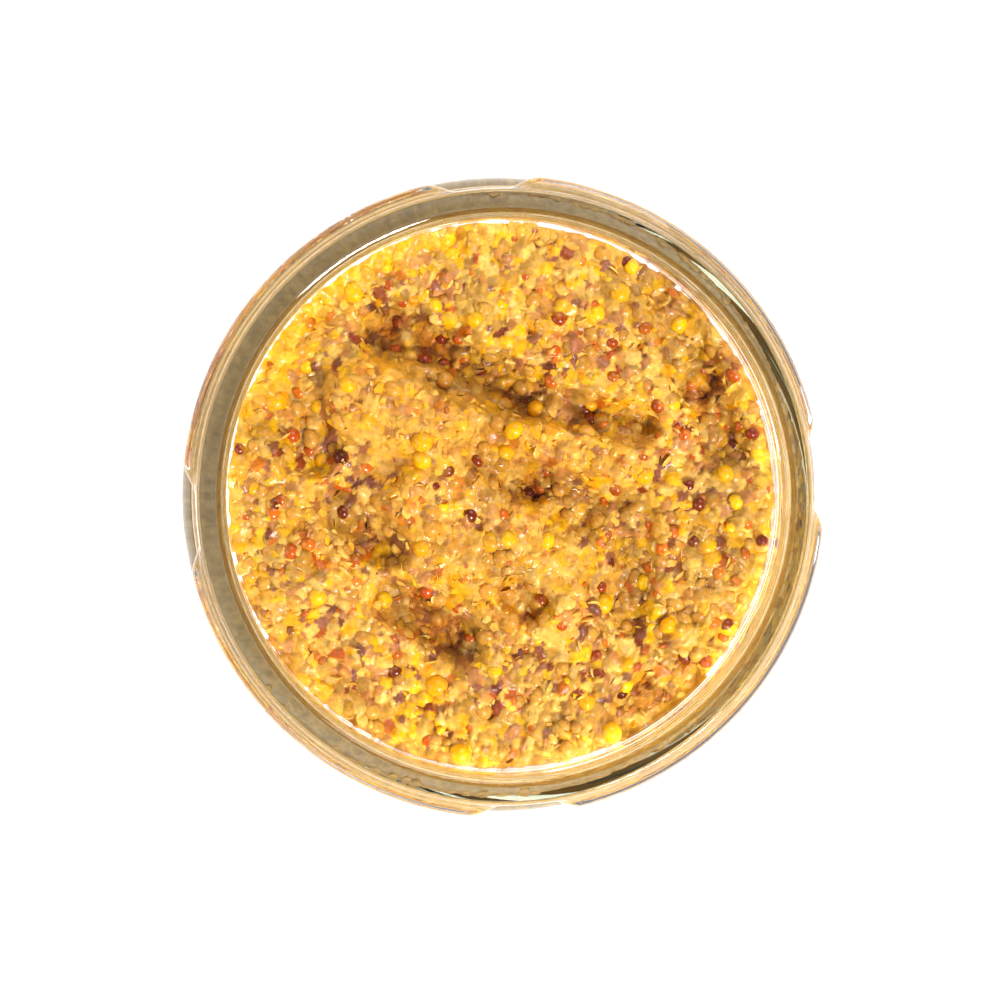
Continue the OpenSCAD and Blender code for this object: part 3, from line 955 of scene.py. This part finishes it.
def wall_grains(name, kind, count, radius, shapes, material, spread=0.14):
    """Press one kind of grain on the inside of the glass and make it one piece."""
    many = 4 * count
    along, turn = rng.uniform(first_grain, path_length[-1], many), rng.uniform(0, 2 * np.pi, many)
    r = along_path(along, wall_path)[:, 0]
    kept = np.argsort(rng.uniform(0, 1, many) ** (CAVITY_R / np.maximum(r, 0.1)))[-count:]
    along, turn = along[kept], turn[kept]
    r, z = along_path(along, wall_path).T
    ahead = along_path(along + 0.5, wall_path) - along_path(along - 0.5, wall_path)
    ahead /= np.linalg.norm(ahead, axis=1, keepdims=True)
    normal = np.stack([-ahead[:, 1] * np.cos(turn), -ahead[:, 1] * np.sin(turn), ahead[:, 0]], axis=-1)
    place = np.stack([r * np.cos(turn), r * np.sin(turn), z], axis=-1)
    size = rng.uniform(*radius, count)
    sizes = np.stack([size, size * rng.uniform(0.65, 1, count), rng.uniform(0.6, 1.4, count)], axis=-1)
    points, faces, owner = copies(shapes, place, lying_turns(normal, 0.0), sizes)
    behind = along_path(along, path_colour)
    blended = 0.85 * soft(cavity_top - 5.0, cavity_top - 0.5, z)[:, None]  # most for the uppermost, so grains under the shoulder take its painted shade
    # Painted shade: grains against the glass are darkened
    colour = pick_colours(kind, count, spread) * GLASS_SIDE_SHADE
    tint = (colour + (behind - colour) * blended)[owner]
    piece = make_piece(name, points, faces, material, tint=tint)
    return piece


wall_grains("wall_olive_seeds", "olive", 1700, (0.85, 1.2), round_plugs, seed_look)
wall_grains("wall_golden_seeds", "golden", 380, (0.85, 1.25), round_plugs, seed_look)
wall_grains("wall_rust_seeds", "rust", 520, (0.6, 0.98), round_plugs, brown_look, spread=0.3)
wall_grains("wall_cream_chips", "cream", 5400, (0.55, 1.35), chip_plugs, chip_look)
wall_grains("wall_yellow_chips", "yellow", 2600, (0.5, 1.25), chip_plugs, chip_look)
wall_grains("wall_dark_chips", "plum", 1600, (0.3, 0.9), chip_plugs, chip_look, spread=0.3)

# %% [markdown]
# ## Liquid in the furrows
# Mustard left to stand gives off a little vinegar, which gathers in its deepest
# furrows. It is level, as liquid is, so one flat sheet at one height is enough:
# the paste hides it wherever the paste is higher. It is thin and brown, and
# faint ripples in it catch the light where it climbs the seeds.

# %% The pools
POOL_Z = TOP_Z - 0.6 * FURROW_H
POOL_CELLS = 200


def closed_patch(x, y, z, kept, thick):
    """Points and faces of a slab: the grid's kept cells above, the same cells below at the depth
    thick, and walls along their rim."""
    n = x.shape[1]
    rows, columns = np.nonzero(kept)
    a = rows * n + columns
    quads = np.stack([a, a + 1, a + n + 1, a + n], axis=-1)
    edges = np.vstack([quads[:, [k, (k + 1) % 4]] for k in range(4)])
    code = edges[:, 0] * x.size + edges[:, 1]
    lone = edges[~np.isin(code, edges[:, 1] * x.size + edges[:, 0])]
    used, index = np.unique(quads, return_inverse=True)
    index = index.reshape(quads.shape)
    rim = np.searchsorted(used, lone)
    top = np.stack([x.ravel()[used], y.ravel()[used], z.ravel()[used]], axis=-1)
    walls = np.stack([rim[:, 1], rim[:, 0], rim[:, 0] + len(used), rim[:, 1] + len(used)], axis=-1)
    return np.vstack([top, top - (0, 0, thick)]), [index, index[:, ::-1] + len(used), walls]


liquid = clear_material("brown_vinegar", 1.36, (0.86, 0.74, 0.55), (0.84, 0.74, 0.56), (0.7, 0.5, 0.2), 500.0)
cell = np.linspace(-MOUTH_R, MOUTH_R, POOL_CELLS + 1)
pool_x, pool_y = np.meshgrid(cell, cell, indexing="xy")
pool_z = POOL_Z + 0.07 * waves(pool_x, pool_y, 1.7, 31)
under_pool = (spooned_z(pool_x, pool_y) < POOL_Z + 0.1) & (np.hypot(pool_x, pool_y) < MOUTH_R - 1)
wet = under_pool[:-1, :-1] & under_pool[1:, :-1] & under_pool[:-1, 1:] & under_pool[1:, 1:]
pools = make_piece("furrow_liquid", *closed_patch(pool_x, pool_y, pool_z, wet, 0.9), liquid)

# %% [markdown]
# ## The rim of liquid on the glass
# Where the mustard meets the glass, thin liquid climbs the wall. It is a small ring with a hollow face,
# carried round the mouth at the height of the mustard's own edge, and its near-white colour is a
# painted highlight: the bright line of light along that edge.

# %% Ring on the glass
ring_turn = np.linspace(0, 2 * np.pi, 360, endpoint=False)
ring_edge = spooned_z((MOUTH_R - 0.3) * np.cos(ring_turn), (MOUTH_R - 0.3) * np.sin(ring_turn))
climb = 0.4 + 0.15 * np.sin(3 * ring_turn + 1) + 0.08 * np.sin(11 * ring_turn)
down = np.linspace(0, 1, 6)
section_r = np.concatenate([MOUTH_R + 0.03 - 0.26 * down ** 1.6, [MOUTH_R - 0.3, MOUTH_R + 0.03]])
section_z = np.concatenate([(1 - down) ** 1.8, [-0.5, -0.5]])
ring_r = np.repeat(section_r[:, None], len(ring_turn), axis=1)
section_z = section_z[:, None]
ring_z = ring_edge + np.where(section_z > 0, section_z * climb, section_z) + 0.1
ring_points = np.stack([ring_r * np.cos(ring_turn), ring_r * np.sin(ring_turn), ring_z], axis=-1)
ring_points = ring_points.reshape(-1, 3)
ring_faces = sheet_faces(len(section_r) + 1, len(ring_turn)) % len(ring_points)
# Painted highlight: the ring is coloured near white for the bright line where the mustard meets the glass
rim_highlight_look = grain_material("rim_painted_highlight", 900.0, 0.15, 0.1, 0.25, 0.8, 0.4, 0.0005)
rim = make_piece("liquid_rim", ring_points, [ring_faces[:, ::-1]], rim_highlight_look,
                 tint=np.tile(light(255, 254, 248), (len(ring_points), 1)))

# %% [markdown]
# ## Light and camera
# The jar stands on a plain white floor under soft lights. The main one is in
# front, on the right, so that the furrows shade on one side, and weaker ones
# fill from the left and from behind. The camera looks almost straight down
# through a long lens, a little from the left.

# %% Floor
white, tree, add, out = new_material("white_floor")
plain = add("ShaderNodeBsdfPrincipled", Base_Color=(0.92, 0.92, 0.92, 1), Roughness=0.6,
            Emission_Color=(1, 1, 1, 1), Emission_Strength=0.85)
tree.links.new(plain.outputs[0], out.inputs["Surface"])
floor_mesh = bpy.data.meshes.new("floor")
floor_mesh.from_pydata([(-2, -2, 0), (2, -2, 0), (2, 2, 0), (-2, 2, 0)], [], [(0, 1, 2, 3)])
floor_mesh.materials.append(white)
floor = bpy.data.objects.new("floor", floor_mesh)
bpy.context.scene.collection.objects.link(floor)

# %% Lights
world = bpy.data.worlds.new("studio")
world.use_nodes = True
world.node_tree.nodes["Background"].inputs["Color"].default_value = (1, 1, 1, 1)
world.node_tree.nodes["Background"].inputs["Strength"].default_value = 0.27
bpy.context.scene.world = world


def softbox(name, place, size, power):
    """A square light that faces the jar."""
    lamp = bpy.data.lights.new(name, "AREA")
    lamp.shape, lamp.size, lamp.energy = "SQUARE", size, power
    holder = bpy.data.objects.new(name, lamp)
    spot = np.array(place)
    aim = np.array([0, 0, 0.06]) - spot
    tilt, turn = np.arctan2(np.hypot(aim[0], aim[1]), -aim[2]), np.arctan2(aim[1], aim[0])
    holder.rotation_euler = (tilt, 0, turn - np.pi / 2)
    holder.location = place
    bpy.context.scene.collection.objects.link(holder)


softbox("key_light", (0.30, -0.45, 0.66), 0.24, 8.0)
softbox("left_fill", (-0.7, -0.1, 0.5), 0.5, 2.0)
softbox("back_fill", (0.2, 0.6, 0.55), 0.5, 3.0)

# %% Camera
VIEW_W = 107.7  # width of the picture at the lip, in millimetres
camera_data = bpy.data.cameras.new("camera")
camera_data.sensor_width = 36.0
camera = bpy.data.objects.new("camera", camera_data)
bpy.context.scene.collection.objects.link(camera)
bpy.context.scene.camera = camera
aim_point = np.array([-0.6, -0.3, JAR_H]) * MM
eye = aim_point + np.array([-20.0, 8.0, 450.0]) * MM
gaze = aim_point - eye
distance = np.linalg.norm(gaze)
camera_data.lens = camera_data.sensor_width * distance / (VIEW_W * MM)
back = -gaze / distance
right = np.cross([0, 1, 0], back)
right /= np.linalg.norm(right)
frame_matrix = np.eye(4)
frame_matrix[:3] = np.stack([right, np.cross(back, right), back, eye], axis=-1)
camera.matrix_world = Matrix(frame_matrix.tolist())
camera_data.clip_start, camera_data.clip_end = 0.01, 20.0
bpy.context.scene.view_settings.view_transform = "Standard"
print("lens, mm:", round(camera_data.lens, 1))
